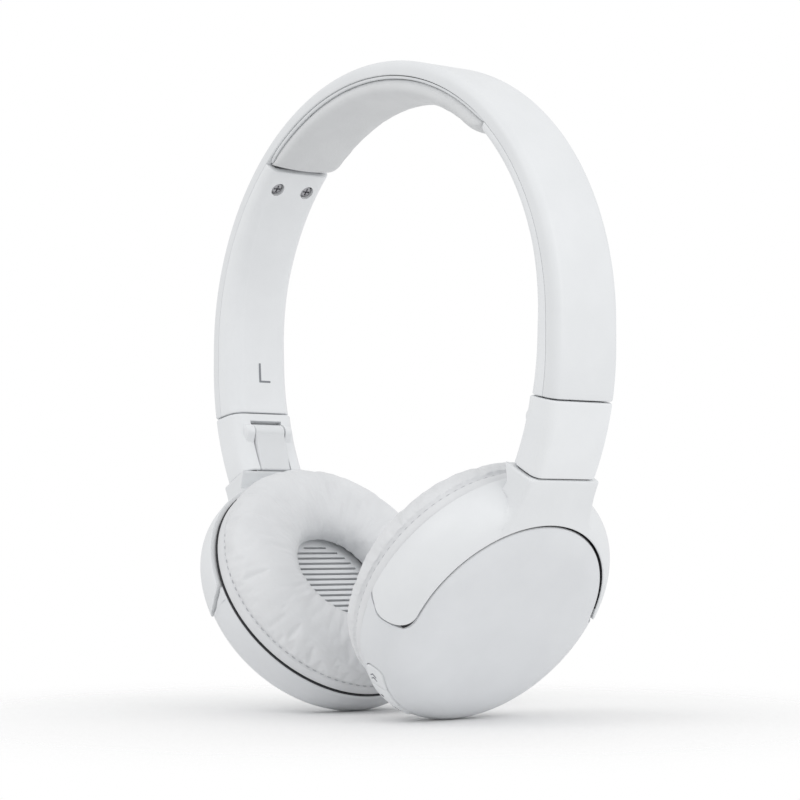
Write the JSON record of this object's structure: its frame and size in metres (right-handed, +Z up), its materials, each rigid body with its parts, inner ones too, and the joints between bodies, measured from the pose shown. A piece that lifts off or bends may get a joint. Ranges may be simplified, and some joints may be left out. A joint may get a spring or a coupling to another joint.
{
  "type": "over ear headphones",
  "caption": "Folding wireless headphones: arched headband, padded cups on swivelling forks, height slides.",
  "frame": {"origin": "midway between the pivots of the two cups, where the wearer's ears line up", "axes": "+X to the wearer's right (cup with the buttons), +Y to the wearer's front, +Z up to the band"},
  "size_m": [0.1426, 0.0712, 0.1698],
  "materials": {
    "white_plastic": "satin white",
    "pale_plastic": "matt pale grey",
    "pad_leather": "soft white coated cover over foam",
    "grey_plastic": "matt grey",
    "grey_film": "thin film",
    "dark_plastic": "matt black",
    "steel": "plain bright steel",
    "board": "green solder mask",
    "battery_foil": "silver foil"
  },
  "bodies": {
    "headband": {"headband_outer_strip": "white_plastic", "cushion_carrier": "pale_plastic", "headband_cushion": "pad_leather", "arm_cover_right": "white_plastic", "slide_guide_right": "pale_plastic", "arm_screw_front_right": "steel", "arm_screw_back_right": "steel", "arm_cover_left": "white_plastic", "slide_guide_left": "pale_plastic", "arm_screw_front_left": "steel", "arm_screw_back_left": "steel"},
    "slider_right": {"slider_blade_right": "steel", "hinge_housing_right": "white_plastic", "fold_pin_right": "steel"},
    "tongue_right": {"fold_arm_right": "pale_plastic", "swivel_lock_pin_right": "steel"},
    "fork_right": {"yoke_right": "white_plastic", "pivot_pin_front_right": "steel", "pivot_pin_back_right": "steel"},
    "cup_right": {"cup_shell_right": "white_plastic", "baffle_right": "pale_plastic", "driver_right": "dark_plastic", "diaphragm_right": "grey_film", "grille_right": "grey_plastic", "pad_ring_right": "pale_plastic", "ear_pad_right": "pad_leather", "cup_screw_1_right": "steel", "cup_screw_2_right": "steel", "cup_screw_3_right": "steel", "circuit_board": "board", "charging_socket": "steel"},
    "slider_left": {"slider_blade_left": "steel", "hinge_housing_left": "white_plastic", "fold_pin_left": "steel"},
    "tongue_left": {"fold_arm_left": "pale_plastic", "swivel_lock_pin_left": "steel"},
    "fork_left": {"yoke_left": "white_plastic", "pivot_pin_front_left": "steel", "pivot_pin_back_left": "steel"},
    "cup_left": {"cup_shell_left": "white_plastic", "baffle_left": "pale_plastic", "driver_left": "dark_plastic", "diaphragm_left": "grey_film", "grille_left": "grey_plastic", "pad_ring_left": "pale_plastic", "ear_pad_left": "pad_leather", "cup_screw_1_left": "steel", "cup_screw_2_left": "steel", "cup_screw_3_left": "steel", "battery": "battery_foil"},
    "button_forward": {"button_forward": "white_plastic"},
    "button_play": {"button_play": "white_plastic"},
    "button_back": {"button_back": "white_plastic"}
  },
  "joints": [
    {"name": "height_right", "type": "slide", "parent": "headband", "child": "slider_right", "axis": [0, 0, 1], "range_m": [-0.02, 0]},
    {"name": "fold_right", "type": "hinge", "parent": "slider_right", "child": "tongue_right", "pos_m": [0.05891, 0, 0.04687], "axis": [0, 1, 0], "range_deg": [0, 114]},
    {"name": "swivel_right", "type": "hinge", "parent": "tongue_right", "child": "fork_right", "pos_m": [0.0386, 0, -0.00112], "axis": [-0.4617, 0, -0.887], "range_deg": [-90, 0]},
    {"name": "tilt_right", "type": "hinge", "parent": "fork_right", "child": "cup_right", "pos_m": [0.03678, 0, 0], "axis": [0, 1, 0], "range_deg": [-10, 0]},
    {"name": "height_left", "type": "slide", "parent": "headband", "child": "slider_left", "axis": [0, 0, 1], "range_m": [-0.02, 0]},
    {"name": "fold_left", "type": "hinge", "parent": "slider_left", "child": "tongue_left", "pos_m": [-0.05891, 0, 0.04687], "axis": [0, -1, 0], "range_deg": [0, 114]},
    {"name": "swivel_left", "type": "hinge", "parent": "tongue_left", "child": "fork_left", "pos_m": [-0.0386, 0, -0.00112], "axis": [-0.4617, 0, 0.887], "range_deg": [-90, 0]},
    {"name": "tilt_left", "type": "hinge", "parent": "fork_left", "child": "cup_left", "pos_m": [-0.03678, 0, 0], "axis": [0, -1, 0], "range_deg": [-10, 0]},
    {"name": "press_forward", "type": "slide", "parent": "cup_right", "child": "button_forward", "axis": [0.5065, 0.4478, 0.7369], "range_m": [0, 0.0006], "stiffness_N_per_m": 400, "springref_m": -0.0006},
    {"name": "press_play", "type": "slide", "parent": "cup_right", "child": "button_play", "axis": [0.4339, 0.6428, 0.6313], "range_m": [0, 0.0006], "stiffness_N_per_m": 400, "springref_m": -0.0006},
    {"name": "press_back", "type": "slide", "parent": "cup_right", "child": "button_back", "axis": [0.3377, 0.8028, 0.4914], "range_m": [0, 0.0006], "stiffness_N_per_m": 400, "springref_m": -0.0006}
  ]
}
